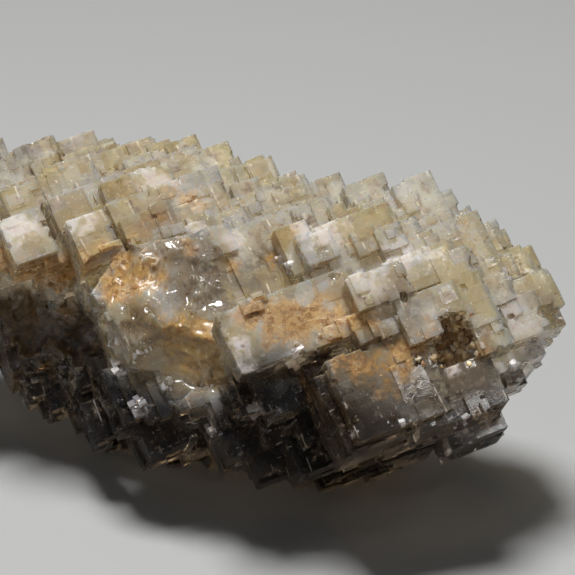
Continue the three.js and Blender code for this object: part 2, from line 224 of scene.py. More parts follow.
# Patches of colour: where each is sighted (across, up), how far it reaches, its strength.
PATCHES = {
    "rust": [
        (-28.4, 2.6, 2, 1.4), (-25.8, 1.8, 2.6, 1.4), (-22.8, 2, 2.6, 1.4),
        (-20, 1.8, 2.2, 1.3), (-27, 1, 3, 1.2), (-23.5, 0.6, 3, 1.1),
        (-26, -1.8, 2, 0.7), (-22, -2.6, 1.8, 0.6), (-24, -7.5, 1.5, 0.5),
        (-18.3, 4.2, 1.2, 0.9), (-16.8, 2.6, 1.8, 1), (-14.2, 1, 2.8, 0.9),
        (-17, 0, 2.4, 0.9), (-11.6, 9.3, 1, 1), (-9.8, 8.5, 1.8, 0.8),
        (-9.6, 3.9, 1.2, 0.8), (-15.3, 5.2, 1.5, 0.6), (-13.3, 6.3, 2.5, 0.4),
        (-8.6, -4.6, 2, 0.8), (-11.3, -3.6, 2, 0.7), (-10.3, -6.8, 2, 0.6),
        (-7.3, -6.3, 2, 0.5), (-6.3, -8.8, 1.8, 0.5), (-5.5, 2.5, 1, 0.9),
        (-1.6, 2.8, 1, 0.8), (-3.4, -2.9, 2, 1.1), (-0.8, -3.2, 2.4, 1.1),
        (1.8, -2.8, 2.6, 1.2), (4, -3.2, 2.2, 1.2), (6, -3.2, 2, 1.1), (8.2, -2.8, 1.4, 0.8),
        (4.3, -4.9, 1.8, 1), (1, -4.9, 1.8, 0.9), (-1.8, -4.9, 1.6, 0.8), (6.3, -7.8, 2.2, 0.7),
        (9.1, -7.6, 2, 0.8), (11.3, -7.1, 2.2, 1.1), (13.1, -5.8, 1.6, 1),
        (10, -9.5, 1.8, 0.6), (16.8, -7.3, 1.5, 0.9), (14, -3.4, 1, 0.7),
        (19.1, -6.5, 1.2, 0.6), (21.2, -13.8, 0.9, 0.9), (19.7, 3.5, 0.8, 0.5),
        (10.8, 2.6, 0.9, 0.4), (6.5, 4.2, 0.9, 0.5),
    ],
    # The brown patches are partly a real brown tint and partly painted shade on the dark lower cubes
    # and in the recess.
    "brown_and_shade": [
        (8.3, -9, 6, 1), (8.5, -12, 4.5, 1), (2.5, -7, 3.6, 1.3),
        (12.5, -9.5, 5, 0.9), (6, -13, 4, 0.9), (12, -2.5, 3.5, 0.45),
        (-13.3, 6.3, 3.5, 0.5), (-15.5, -3.5, 4, 0.4), (0, -4.5, 4, 0.5),
        (-24, 0.5, 6, 0.5), (-2, 3, 1.6, 0.8), (18, -9.5, 4.5, 1.1),
        (18.5, -13.8, 4, 1),
    ],
    "honey": [
        (-1, 5.8, 3, 1.1), (-16.8, 9.8, 2.4, 0.6), (-22.3, 12.8, 2, 0.5),
        (5.8, 10.3, 3, 0.5), (18.8, 4.8, 2.6, 0.5), (10.3, 7.3, 3, 0.5), (-4.5, 9, 3, 0.5),
        (-10.5, -4.8, 3, 1), (-15.8, 0.6, 3, 0.9), (-7.3, 5.3, 2.4, 0.4),
        (-14.8, -3.3, 3, 0.8), (-13.8, 1.3, 2.5, 0.6), (-8.8, -5.8, 3.6, 1.1),
        (-6.3, -8.8, 2.4, 0.8), (4.3, -1.3, 3, 0.6), (-3.3, -1.3, 2, 0.4),
        (9.3, -7.3, 4, 0.5), (16.3, -8.8, 3, 0.5),
    ],
    # The frost patches are partly real frosted faces and partly painted glints on the small bright
    # strips of the dark lower part.
    "frost_and_glint": [
        (-24, 0.6, 1.2, 0.9), (-22.6, -1.4, 0.7, 0.7), (-26.6, -3.4, 0.8, 0.6),
        (-26.8, 6, 2.6, 0.8), (-20.8, 14.5, 2.6, 0.35), (-21, 6.8, 2.4, 0.7),
        (3, 5.8, 3, 0.9), (7.8, 1.3, 2.4, 0.8), (11.3, 2.6, 2.6, 0.9), (14.8, 3.3, 2, 0.7),
        (-13.3, 10.6, 3, 0.6), (-5.3, 4.8, 1.6, 0.9), (-9.3, 6, 1.6, 0.7),
        (23.3, -2.8, 2.4, 0.5), (24.8, -5.8, 2, 1), (-17.3, -8.1, 1, 0.9),
        (-14.8, -12.3, 1.2, 0.8), (-0.6, 3.2, 0.6, 1.6), (0.1, 2.2, 0.6, 1.6),
        (-15.8, -0.3, 1.8, 0.5), (-19, -1.3, 1.2, 0.6), (-5, -2, 1.6, 0.7),
        (16.6, -8.2, 1, 0.8), (14.2, -2.6, 1.2, 0.6), (-4.9, -5.5, 1.5, 0.7),
        (-4.4, -8, 1.4, 0.6), (-3.2, -12.2, 0.7, 0.9), (-1, -12.3, 0.6, 0.9),
        (-7.8, -14, 0.7, 0.9), (0.7, -6.5, 0.7, 0.8), (6.5, -14.6, 0.4, 0.8),
        (17.6, -14.3, 0.8, 0.8), (22.8, -8.3, 1, 1), (22.6, -9.9, 0.8, 0.9),
        (-24, -7, 0.8, 0.7), (-22.4, -8, 0.6, 0.7),
    ],
    "smoke": [
        (-28, 13, 5, 0.65), (-24, 15.5, 4, 0.65), (-20.5, 14, 3, 0.6),
        (15, 10.5, 3.4, 0.75), (-8.8, 0.8, 4.5, 0.6), (-3.8, 0.8, 2.5, 0.6),
        (23.8, -1.3, 3.4, 0.55),
    ],
    # The dirt patches are earthy stain in the pocket and partly painted shade, dark in the shadowed
    # hollow and the recess.
    "dirt": [
        (-25.5, -4, 4.5, 1), (-21.8, -5, 4, 0.9), (-28, -8.5, 4, 0.8),
        (-22, -9.5, 3.5, 0.7), (3.2, -7, 2.4, 0.8), (16.4, -4.9, 2.4, 0.5),
        (13, -7.6, 1, 0.8), (15.5, -7.6, 0.8, 0.7),
    ],
}

# The crystals are clear below this line (across, up), and their colour there is dark with painted
# shade, partly the clear crystal's own darkness.
SHADED_CLEAR_BELOW = [
    (-29.0, 0.0), (-19.5, -1.5), (-18.0, -7.0), (-12.5, -9.5), (-7.0, -11.0), (-5.0, -6.0),
    (2.0, -6.0), (5.0, -9.5), (13.0, -11.5), (21.0, -8.0), (28.0, -6.0),
]

# A patch is full up to the first of these shares of its reach and gone at the second. The
# crystals start to clear and darken with painted shade this far above the line, as a minus,
# and are clear and fully shaded this far below it.
PATCH_EDGE = (0.3, 1.4)
SHADED_CLEAR_FADE = (-1.5, 2.5)

# Rough balls: how many bumps each has, their fractal (fall-off, step, layers), how far each is
# squashed, and for each use how high the bumps are and how fine the mesh is.
BALL = {"bumps": 1.6, "fractal": (0.8, 2.0, 3), "squash": (0.75, 1.25)}
BALL_ROUGHNESS = {"bite": 0.5, "pocket": 0.55, "hollow": 0.4, "grain": 0.6}
BALL_DETAIL = {"bite": 1, "pocket": 4, "hollow": 4, "grain": 2}

# The surface of a scar: the step between its rings, which is half that between its spokes, how
# wide it is against the ball that it curves with, then its ripples, the feathering that runs out
# from where they start, its terraces and its uneven rim. Heights are mm. The greater a pace,
# the closer together the ups and downs are.
SCAR_STEP = 0.3
SCAR_REACH = {"most": 0.9, "wider": 1.4, "margin": 0.6}
RIPPLE = {"height": 0.03, "pace": 7.0, "warp": 2, "warp_pace": 0.4, "fades_over": 6}
FEATHER = {"height": 0.06, "around": 9, "outwards": 0.35}
TERRACE = {"height": 0.12, "steps": 3.0, "slope": 0.05, "pace": 0.55, "fractal": (0.8, 2.0, 4)}
RIM = {"height": 0.45, "pace": 1.5}

# How deep a lath is rooted, half the width of what is cut off below the floor, how near two
# corners are joined and how long an edge may stay, in mm.
LATH_DEPTH = 1.2
CUT_HALF = 200.0
WELD = 1e-4
LONGEST_EDGE = 2.0

# Noise is read from a random place within this much, and steeper edges than this are sharp.
NOISE_ROOM = 50
SHARP_ANGLE = 30.0

# -------- colours and clearness

TINTS = {
    "cream": (0.92, 0.89, 0.78),
    "straw": (0.89, 0.77, 0.47),
    "lilac": (0.91, 0.88, 0.90),
    "tan": (0.68, 0.52, 0.30),
    "milk": (0.96, 0.95, 0.93),
    "tea": (0.58, 0.42, 0.21),
    "honey": (0.74, 0.52, 0.20),
    "smoke": (0.26, 0.24, 0.22),
    # Painted shade: the dark colours of the clear crystal below the line.
    "shaded_clear_grey": (0.14, 0.135, 0.14),
    "shaded_clear_brown": (0.10, 0.085, 0.07),
    # A brown for stains, also used as painted shade low down.
    "brown_and_shade": (0.13, 0.085, 0.05),
    # A frosty white, also used for painted glints.
    "frost_and_glint": (0.76, 0.71, 0.71),
    # The white of specks and veils. Low down the specks are painted glints.
    "white": (0.84, 0.81, 0.77),
    "dark_rust": (0.24, 0.10, 0.015),
    "rust": (0.64, 0.33, 0.05),
    "ochre": (0.80, 0.62, 0.30),
    "crack": (0.22, 0.10, 0.03),
    # Colours of earth, also used as painted shade in the hollow and the recess.
    "dirt": (0.12, 0.07, 0.03),
    "dark_dirt_and_shade": (0.03, 0.02, 0.013),
    "crumb": (0.90, 0.66, 0.40),
    "dark_crumb": (0.22, 0.12, 0.05),
    "absorbed": (0.70, 0.62, 0.50),
}

# Noises: the size of their spots in mm, how many layers, how rough.
NOISES = {
    "broad": (7.0, 1, 0.55),
    "middling": (2.2, 2, 0.6),
    "fine": (0.7, 2, 0.7),
    "grain": (0.22, 1, 0.7),
}

# Where something starts and where it is full along a noise or mark, then, if they aren't 0
# and 1, its values at those two ends.
BANDS = {
    "straw": (0.38, 0.62),
    "lilac": (0.6, 1.0, 0.0, 0.7),
    "tan": (0.4, 0.0, 0.0, 0.4),
    "milk": (0.5, 1.0, 0.0, 0.4),
    "tea": (0.5, 0.0, 0.0, 0.45),
    "shaded_clear_brown": (0.40, 0.66),
    "plane": (0.985, 1.0),
    "veil": (0.52, 0.60),
    "speck_grain": (0.60, 0.68),
    "speck_fine": (0.50, 0.64),
    "speck_glints_low": (0.0, 1.0, 1.0, 0.5),
    "rust": (0.40, 0.62),
    "ochre": (0.52, 0.70, 0.0, 0.6),
    "rust_thins": (0.62, 0.42, 0.6, 1.0),
    "crack": (0.008, 0.002),
    "crack_broad": (0.46, 0.54),
    "crack_broken": (0.0, 1.0, 0.3, 1.0),
    "dark_dirt_and_shade": (0.38, 0.62),
    "dark_crumb": (0.2, 0.9),
    "rough_block": (0.2, 0.8, 0.06, 0.30),
    "rough_spots": (0.4, 0.7, 0.0, 0.14),
    "rough_low": (0.0, 1.0, 1.0, 0.4),
    "rough_broken": (0.0, 1.0, 1.0, 0.5),
    "relief_low": (0.0, 1.0, 1.0, 0.1),
}

# How far each noise moves the edges of patches, and how soft those edges are.
WANDER = {"middling": 1.8, "fine": 1.2}
SOFTNESS = {"rust": 0.45, "brown_and_shade": 0.45, "honey": 0.45, "frost_and_glint": 0.45, "smoke": 0.45, "dirt": 0.3}

# How much of each colour shows where it is full.
SHOWS = {
    "honey": 0.8, "smoke": 0.8, "brown_and_shade": 0.85, "frost_and_glint": 0.75, "frosted_chip_glint": 0.8,
    "specks_and_glints": 0.5, "veil": 0.4, "rust": 0.95, "crack": 0.8, "dirt": 0.9,
}

# How much light each stain stops, and how much the crystal lets through.
STOPS = {"rust": 0.6, "dirt": 0.85, "frost_and_glint": 0.4}
THROUGH = {"body": 0.80, "broken": 0.84, "smoke": 0.85, "low": 0.92}

# The size of the blocks that change colour inside, the spacing of thin planes along the
# lattice, in mm, and how uneven those planes are.
INNER_BLOCK = 2.1
PLANES = {"X": 2.9, "Z": 1.9}
PLANE_WANDER = 1.5

# Cracks follow this level of the middling noise. Each block takes its polish from its tone
# times this number. Opaque stains are this rough.
CRACK_LEVEL = 0.47
POLISH_STEP = 7.3
STAIN_ROUGHNESS = 0.65

# Fine scratches, drawn out along the lattice: size and depth in mm.
RELIEF = {"size": 0.32, "detail": 1, "rough": 0.7, "drawn": (0.3, 1.0, 1.0)}
BUMP = {"strength": 0.3, "depth": 0.06}

# The crystal's index, how far light spreads under its skin, in mm, the share of that for red,
# green and blue, and how strongly its depth absorbs light, per metre.
OPTICS = {"ior": 1.434, "glow": 1.5, "glow_by_colour": (1.0, 0.88, 0.66), "absorption": 100.0}

# -------- studio values

FLOOR = {"half": 3000.0, "colour": (0.27, 0.27, 0.265, 1), "roughness": 0.7}
WORLD = {"colour": (0.8, 0.85, 0.9, 1), "strength": 0.10}

# Round lights aimed at the middle: where they hang from it, how wide they are, their watts.
LIGHTS = {
    "key": {"place": (-60.0, 0.0, 520.0), "size": 200.0, "power": 5.4},
    "fill": {"place": (-350.0, -450.0, 250.0), "size": 400.0, "power": 0.4},
    "sheen": {"place": (206.0, -220.0, 387.0), "size": 40.0, "power": 0.06},
}

# -------- places and directions

mount = frame["record"]["mounts"][0]["pos_m"]
MIDDLE = Vector(mount) - Vector(MOUNT_FROM_MIDDLE) * MM
RISE = math.radians(CAMERA["elevation"])
SIGHT_ACROSS = Vector((1, 0, 0))
SIGHT_UP = Vector((0, math.sin(RISE), math.cos(RISE)))
SIGHT_OUT = Vector((0, -math.cos(RISE), math.sin(RISE)))
EYE = MIDDLE + SIGHT_OUT * CAMERA["distance"] * MM

LATTICE_AXES = (
    Matrix.Rotation(math.radians(LATTICE["yaw"]), 3, "Z")
    @ Matrix.Rotation(math.radians(LATTICE["pitch"]), 3, "X")
    @ Matrix.Rotation(math.radians(LATTICE["roll"]), 3, "Y")
)
AXES = [LATTICE_AXES.col[i].copy() for i in range(3)]

rng = np.random.default_rng(GROWTH["seed"])


def spread(low, high):
    """A random number between two."""
    return low + (high - low) * rng.random()


def mostly_small(sizes):
    """A random size between the smallest and the largest, more often a small one."""
    return sizes["smallest"] + (sizes["largest"] - sizes["smallest"]) * rng.random() ** 2


def random_tilt(stray):
    """A turn of up to some degrees about each axis."""
    return Euler([math.radians(spread(-stray, stray)) for _ in range(3)]).to_matrix()


def along_lattice(point):
    """A point's coordinates along the lattice axes."""
    return Vector([point.dot(axis) for axis in AXES])


def seen_direction(across, up, out):
    """A direction given as it is seen from the front."""
    return (SIGHT_ACROSS * across + SIGHT_UP * up + SIGHT_OUT * out).normalized()


# -------- mesh tools


class Solid:
    """A closed shape that is joined to the cluster or cut out of it: corners in metres,
    faces, a tone that its faces share, and what kind of surface they are."""

    CRYSTAL, CHIP, BROKEN, EARTH = 0.0, 0.4, 1.0, 2.0

    def __init__(self, corners, faces, kind=CRYSTAL):
        self.corners = np.array(corners, float)
        self.faces = faces
        self.tone = rng.random()
        self.kind = kind
        self.low = self.corners.min(0)
        self.high = self.corners.max(0)


# Kinds above the first of these are broken or earthy, and above the second earthy. Kinds that
# are this near to each other are the same.
SMOOTH_ABOVE = 0.5
EARTHY_ABOVE = 1.5
SAME_KIND = 0.1


def tagged(mesh, tones, kinds):
    """The mesh with a tone and a kind on each of its faces."""
    for name, values in (("tone", tones), ("kind", kinds)):
        layer = mesh.attributes.new(name, "FLOAT", "FACE")
        layer.data.foreach_set("value", np.array(values, np.float32))
    return mesh


def sorted_apart(solids):
    """The solids in groups, each of solids whose boxes don't meet."""
    groups = []
    for solid in solids:
        for group in groups:
            lows = np.array([other.low for other in group])
            highs = np.array([other.high for other in group])
            if not np.any(np.all((lows < solid.high) & (highs > solid.low), axis=1)):
                group.append(solid)
                break
        else:
            groups.append([solid])
    return groups


def mesh_of(solids):
    """One mesh of solids that lie apart."""
    corners, faces, tones, kinds = [], [], [], []
    for solid in solids:
        start = len(corners)
        corners.extend(solid.corners)
        faces.extend([start + i for i in face] for face in solid.faces)
        tones.extend([solid.tone] * len(solid.faces))
        kinds.extend([solid.kind] * len(solid.faces))
    mesh = bpy.data.meshes.new("solids")
    mesh.from_pydata(corners, [], faces)
    return tagged(mesh, tones, kinds)


def boolean(mesh, solids, operation):
    """The mesh with all the solids joined on or cut away."""
    collection = bpy.data.collections.new("tools")
    bpy.context.scene.collection.children.link(collection)
    for i, group in enumerate(sorted_apart(solids)):
        collection.objects.link(bpy.data.objects.new(f"tool_{i}", mesh_of(group)))
    holder = bpy.data.objects.new("holder", mesh)
    bpy.context.scene.collection.objects.link(holder)
    modifier = holder.modifiers.new("boolean", "BOOLEAN")
    modifier.operation = operation
    modifier.solver = "MANIFOLD"
    modifier.operand_type = "COLLECTION"
    modifier.collection = collection
    graph = bpy.context.evaluated_depsgraph_get()
    made = bpy.data.meshes.new_from_object(holder.evaluated_get(graph))
    bpy.data.objects.remove(holder)
    for tool in list(collection.objects):
        bpy.data.meshes.remove(tool.data)
    bpy.data.collections.remove(collection)
    return made


class Surface:
    """Triangles of a mesh to pick points on, and a tree to cast rays in."""

    def __init__(self, mesh, kinds=None):
        bm = bmesh.new()
        bm.from_mesh(mesh)
        if kinds is not None:
            layer = bm.faces.layers.float["kind"]
            others = [f for f in bm.faces if f[layer] not in kinds]
            bmesh.ops.delete(bm, geom=others, context="FACES")
        bmesh.ops.triangulate(bm, faces=bm.faces)
        self.corners = np.array([[v.co for v in f.verts] for f in bm.faces])
        self.areas = np.array([f.calc_area() for f in bm.faces])
        self.normals = np.array([f.normal for f in bm.faces])
        self.tree = BVHTree.FromBMesh(bm)
        bm.free()

    def random_points(self, count):
        """Points spread evenly over the surface, each with its normal."""
        for pick in rng.choice(len(self.areas), count, p=self.areas / self.areas.sum()):
            u, v = sorted((rng.random(), rng.random()))
            a, b, c = self.corners[pick]
            yield Vector(a * u + b * (v - u) + c * (1 - v)), Vector(self.normals[pick])

    def sighted(self, across, up):
        """The point sighted at (across, up) mm from the middle, or None."""
        aim = MIDDLE + (SIGHT_ACROSS * across + SIGHT_UP * up) * MM
        return self.tree.ray_cast(EYE, (aim - EYE).normalized())[0]


BOX_FACES = [(0, 1, 3, 2), (4, 6, 7, 5), (0, 4, 5, 1), (2, 3, 7, 6), (0, 2, 6, 4), (1, 5, 7, 3)]


def box_corners(low, high):
    """The eight corners of a box, in the order that BOX_FACES counts them."""
    return [
        Vector((x, y, z))
        for x in (low.x, high.x)
        for y in (low.y, high.y)
        for z in (low.z, high.z)
    ]


def block(low, high, stray, kind=Solid.CRYSTAL):
    """A box given by two corners along the lattice axes, tilted at random about its middle."""
    middle = (low + high) / 2
    tilt = random_tilt(stray)
    corners = [LATTICE_AXES @ (middle + tilt @ (c - middle)) for c in box_corners(low, high)]
    return Solid(corners, BOX_FACES, kind)


def rough_ball(place, radius, use, kind):
    """A bumpy ball, never the same twice."""
    bm = bmesh.new()
    bmesh.ops.create_icosphere(bm, subdivisions=BALL_DETAIL[use], radius=1)
    shift = Vector(rng.random(3) * NOISE_ROOM)
    squash = Vector([spread(*BALL["squash"]) for _ in range(3)])
    corners = []
    for vertex in bm.verts:
        bumps = noise.fractal(vertex.co * BALL["bumps"] + shift, *BALL["fractal"])
        bump = 1 + BALL_ROUGHNESS[use] * bumps
        corners.append(place + Vector(a * b for a, b in zip(vertex.co * radius * bump, squash)))
    faces = [[v.index for v in f.verts] for f in bm.faces]
    bm.free()
    return Solid(corners, faces, kind)


# -------- growing


def solid_copy():
    """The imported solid's mesh with its corners joined. Faces off the lattice are broken."""
    bm = bmesh.new()
    bm.from_mesh(frame["nodes"][NODE].data)
    bmesh.ops.remove_doubles(bm, verts=bm.verts, dist=WELD * MM)
    mesh = bpy.data.meshes.new("crystals")
    bm.to_mesh(mesh)
    bm.free()
    kinds = [Solid.CRYSTAL if face_axis(f.normal)[1] else Solid.BROKEN for f in mesh.polygons]
    return tagged(mesh, [0.5] * len(kinds), kinds)


def face_axis(normal):
    """The lattice axis that a face lies across, and whether the face is on the lattice."""
    leans = [abs(normal.dot(axis)) for axis in AXES]
    face = max(range(3), key=lambda i: leans[i])
    return face, leans[face] > ON_LATTICE


def room_round(tree, point, face, most):
    """How far the solid goes from a point each way along its face, in mm, up to a limit."""
    room = {}
    for i in range(3):
        for sign in (-1, 1):
            if i != face:
                hit = tree.ray_cast(point, AXES[i] * sign, most * MM)[0]
                room[i, sign] = most if hit is None else (hit - point).length / MM
    return room


def zone_of(inside, outside):
    """Whether a place is in a valley, at an edge or on a face, from the room round it."""
    if min(outside.values()) < GROWTH["valley_room"]:
        return "valley"
    return "edge" if min(inside.values()) < GROWTH["edge_room"] else "face"


def grown_block(point, face, side, inside, row, zone):
    """A block that stands slightly proud of its face and mostly ends where the face does."""
    size = mostly_small(row)
    least = GROWTH["least_proud"]
    proud = row["proud"][zone] * (least + (1 - least) * rng.random() ** 2)
    low = along_lattice(point)
    high = low.copy()
    outer = low[face] + side * proud * MM
    inner = low[face] - side * max(size, GROWTH["least_depth"]) * MM
    for (i, sign), space in inside.items():
        length = size * spread(*GROWTH["arms"])
        if length > space:
            length = space + proud * rng.random()
        if sign < 0:
            low[i] -= length * MM
        else:
            high[i] += length * MM
    low[face], high[face] = min(outer, inner), max(outer, inner)
    return block(low, high, GROWTH["stray"])


def fine_blocks(mesh, row):
    """Small blocks on the faces, edges and valleys of the cubes."""
    surface = Surface(mesh)
    made = []
    for point, normal in surface.random_points(row["tries"]):
        face, on_lattice = face_axis(normal)
        if not on_lattice:
            continue
        side = 1 if normal.dot(AXES[face]) > 0 else -1
        lift = normal * GROWTH["probe"] * MM
        inside = room_round(surface.tree, point - lift, face, GROWTH["inside_reach"])
        outside = room_round(surface.tree, point + lift, face, GROWTH["outside_reach"])
        zone = zone_of(inside, outside)
        if rng.random() <= row["share"][zone]:
            made.append(grown_block(point, face, side, inside, row, zone))
    return made


# -------- breaking


def bites(mesh):
    """Small blocks and lumps to be cut out of the edges."""
    surface = Surface(mesh)
    made = []
    for point, normal in surface.random_points(BITES["tries"]):
        face, _ = face_axis(normal)
        inside = point - normal * BITES["probe"] * MM
        room = room_round(surface.tree, inside, face, BITES["reach"])
        (i, sign), length = min(room.items(), key=lambda item: item[1])
        if length >= BITES["reach"]:
            continue
        edge = inside + AXES[i] * sign * length * MM
        size = mostly_small(BITES) * MM
        if rng.random() < BITES["lumps"]:
            place = edge + normal * size * BITES["lump_out"]
            made.append(rough_ball(place, size * BITES["lump_radius"], "bite", Solid.BROKEN))
        else:
            local = along_lattice(edge)
            half = Vector([size * spread(*BITES["half"]) for _ in range(3)])
            made.append(block(local - half, local + half, BITES["stray"]))
    return made


def scar_relief(x, y, source, shift):
    """How high a scar's ripples, feathering and terraces stand at a point, in mm."""
    away = math.hypot(x - source[0], y - source[1])
    around = math.atan2(y - source[1], x - source[0])
    here = Vector((x, y, 0))
    warp = RIPPLE["warp"] * noise.noise(here * RIPPLE["warp_pace"] + shift)
    ripple = RIPPLE["height"] * math.sin(away * RIPPLE["pace"] + warp)
    ripple *= math.exp(-away / RIPPLE["fades_over"])
    outwards = Vector((around * FEATHER["around"], away * FEATHER["outwards"], 0))
    feather = FEATHER["height"] * noise.noise(outwards + shift)
    swell = noise.fractal(here * TERRACE["pace"] + shift, *TERRACE["fractal"])
    terrace = TERRACE["height"] * round(TERRACE["steps"] * swell) + TERRACE["slope"] * swell
    return ripple + feather + terrace


def dome_faces(rings, spokes):
    """The faces of a dome: rings of corners, then its bottom corner, then its top one."""
    bottom, top = rings * spokes, rings * spokes + 1
    last = (rings - 1) * spokes
    faces = []
    for spoke in range(spokes):
        following = (spoke + 1) % spokes
        faces.append((bottom, following, spoke))
        faces.append((last + spoke, last + following, top))
        for ring in range(rings - 1):
            a, b = ring * spokes, (ring + 1) * spokes
            faces.append((a + spoke, a + following, b + following))
            faces.append((a + spoke, b + following, b + spoke))
    return faces


def scar(place, facing, depth, radius, source):
    """A dome-shaped cutter whose underside is a rippled piece of a ball."""
    side = SIGHT_UP.cross(facing).normalized()
    other = facing.cross(side).normalized()
    wide = math.sqrt(2 * radius * depth) * SCAR_REACH["wider"] + SCAR_REACH["margin"]
    reach = min(radius * SCAR_REACH["most"], wide)
    rings, spokes = int(reach / SCAR_STEP), int(2 * math.pi * reach / SCAR_STEP / 2)
    shift = Vector(rng.random(3) * NOISE_ROOM)
    corners = []
    for ring in range(1, rings + 1):
        far = reach * ring / rings
        for spoke in range(spokes):
            angle = 2 * math.pi * spoke / spokes
            x, y = far * math.cos(angle), far * math.sin(angle)
            rim = Vector((math.cos(angle), math.sin(angle), 0)) * RIM["pace"]
            lopsided = RIM["height"] * (far / reach) ** 2 * noise.noise(rim + shift)
            height = radius - math.sqrt(radius * radius - far * far) - depth
            height += scar_relief(x, y, source, shift) + lopsided
            corners.append(place + (side * x + other * y + facing * height) * MM)
    corners.append(place + facing * (-depth) * MM)
    corners.append(place + facing * (reach + radius) * MM)
    return Solid(corners, dome_faces(rings, spokes), Solid.BROKEN)


def scars(mesh):
    """The cutters of the broken mass."""
    surface = Surface(mesh)
    return [
        scar(surface.sighted(*at), seen_direction(*facing), depth, radius, source)
        for at, facing, depth, radius, source in SCARS
    ]


def balls(mesh, rows, use, kind):
    """The rough balls that the pocket or the hollow is cut with."""
    surface = Surface(mesh)
    made = []
    for across, up, out, radius in rows:
        place = surface.sighted(across, up) + SIGHT_OUT * out * MM
        made.append(rough_ball(place, radius * MM, use, kind))
    return made


# -------- laths, grains and chips


def laths(mesh):
    """The narrow clear crystals. The lattice's middle axis points into the cluster."""
    surface = Surface(mesh)
    made = []
    for across, up, width, length, proud in LATHS:
        middle = along_lattice(surface.sighted(across, up))
        low = middle - Vector((width / 2, proud, length / 2)) * MM
        high = middle + Vector((width / 2, LATH_DEPTH, length / 2)) * MM
        made.append(block(low, high, GROWTH["stray"]))
    return made


def strewn(surface, spots):
    """Points in view scattered about some spots."""
    for across, up, reach, count in spots:
        for _ in range(count):
            right, rise = rng.normal() * reach / 2, rng.normal() * reach / 2
            point = surface.sighted(across + right, up + rise)
            if point is not None:
                yield point


def grains(mesh):
    """Earthy grains on the pocket's walls and below it."""
    earth = Surface(mesh, kinds=[Solid.EARTH])
    places = [point for point, _ in earth.random_points(GRAINS["in_pocket"])]
    places += strewn(Surface(mesh), GRAINS["spots"])
    smallest, largest = GRAINS["smallest"], GRAINS["largest"]
    return [
        rough_ball(place, spread(smallest, largest) * MM, "grain", Solid.EARTH)
        for place in places
    ]


def chips(mesh):
    """Chips of crystal that lie every way."""
    made = []
    for place in strewn(Surface(mesh), CHIPS["spots"]):
        local = along_lattice(place)
        length = mostly_small(CHIPS)
        shares = (1.0, spread(*CHIPS["width"]), spread(*CHIPS["thickness"]))
        half = Vector([length / 2 * MM * share for share in shares])
        made.append(block(local - half, local + half, CHIPS["stray"], Solid.CHIP))
    return made


def bright_chips(mesh):
    """Chips that all face nearly one way, so that they catch the light together."""
    facing = seen_direction(*BRIGHT_CHIPS["facing"])
    along = (AXES[0] - facing * AXES[0].dot(facing)).normalized()
    turned = Matrix((along, facing.cross(along), facing)).transposed()
    made = []
    for place in strewn(Surface(mesh), BRIGHT_CHIPS["spots"]):
        tilt = random_tilt(BRIGHT_CHIPS["stray"])
        length = mostly_small(BRIGHT_CHIPS)
        width = length * spread(*BRIGHT_CHIPS["width"])
        half = Vector((length / 2, width, BRIGHT_CHIPS["half_thickness"])) * MM
        corners = [place + turned @ tilt @ corner for corner in box_corners(-half, half)]
        made.append(Solid(corners, BOX_FACES, Solid.CHIP))
    return made


# -------- the finished mesh


def underfloor():
    """All that lies below the flat cut."""
    half = CUT_HALF * MM
    return Solid(box_corners(Vector((-half,) * 3), Vector((half, half, 0))), BOX_FACES)


def loose_corners(bm):
    """The corners of all connected parts but the largest."""
    parts = []
    found = set()
    for start in bm.verts:
        if start in found:
            continue
        part = {start}
        edge_of_part = [start]
        while edge_of_part:
            corner = edge_of_part.pop()
            for edge in corner.link_edges:
                other = edge.other_vert(corner)
                if other not in part:
                    part.add(other)
                    edge_of_part.append(other)
        found |= part
        parts.append(part)
    parts.sort(key=len)
    return [corner for part in parts[:-1] for corner in part]


def doubled_faces(bm):
    """The faces that lie back to back on the same corners."""
    at = {}
    for face in bm.faces:
        at.setdefault(frozenset(face.verts), []).append(face)
    return [face for faces in at.values() if len(faces) > 1 for face in faces]


def refined(mesh):
    """The mesh as triangles, the long ones split so that marks on its corners are even."""
    bm = bmesh.new()
    bm.from_mesh(mesh)
    bmesh.ops.delete(bm, geom=loose_corners(bm), context="VERTS")
    bmesh.ops.triangulate(bm, faces=bm.faces, quad_method="BEAUTY", ngon_method="BEAUTY")
    long_edges = [e for e in bm.edges if e.calc_length() > LONGEST_EDGE * MM]
    bmesh.ops.subdivide_edges(bm, edges=long_edges, cuts=1)
    bmesh.ops.triangulate(bm, faces=[f for f in bm.faces if len(f.verts) > 3])
    bmesh.ops.delete(bm, geom=doubled_faces(bm), context="FACES")
    bm.to_mesh(mesh)
    bm.free()
    return mesh


def smooth_step(low, high, value):
    """0 below one value, 1 above another, and smooth between."""
    t = np.clip((value - low) / (high - low), 0, 1)
    return t * t * (3 - 2 * t)


def mark(mesh, name, values):
    """Puts a value on each corner of the mesh."""
    layer = mesh.attributes.new(name, "FLOAT", "POINT")
    layer.data.foreach_set("value", values.astype(np.float32))


def patch_strength(surface, places, spots):
    """How strongly the strongest of some spots colours each place."""
    strongest = np.zeros(len(places))
    for across, up, reach, strength in spots:
        spot = surface.sighted(across, up)
        if spot is not None:
            far = np.linalg.norm(places - np.array(spot), axis=1) / (reach * MM)
            near = strength * (1 - smooth_step(*PATCH_EDGE, far))
            strongest = np.maximum(strongest, near)
    return strongest


def marked(mesh):
    """Marks each corner with the colours it takes and how clear the crystal is there."""
    places = np.zeros(len(mesh.vertices) * 3, np.float32)
    mesh.vertices.foreach_get("co", places)
    places = places.reshape(-1, 3).astype(float)
    surface = Surface(mesh)
    for name, spots in PATCHES.items():
        mark(mesh, name, patch_strength(surface, places, spots))
    from_middle = (places - np.array(MIDDLE)) / MM
    across, up = from_middle @ np.array(SIGHT_ACROSS), from_middle @ np.array(SIGHT_UP)
    line = np.interp(across, [x for x, _ in SHADED_CLEAR_BELOW], [y for _, y in SHADED_CLEAR_BELOW])
    mark(mesh, "low", smooth_step(*SHADED_CLEAR_FADE, line - up))
    return mesh


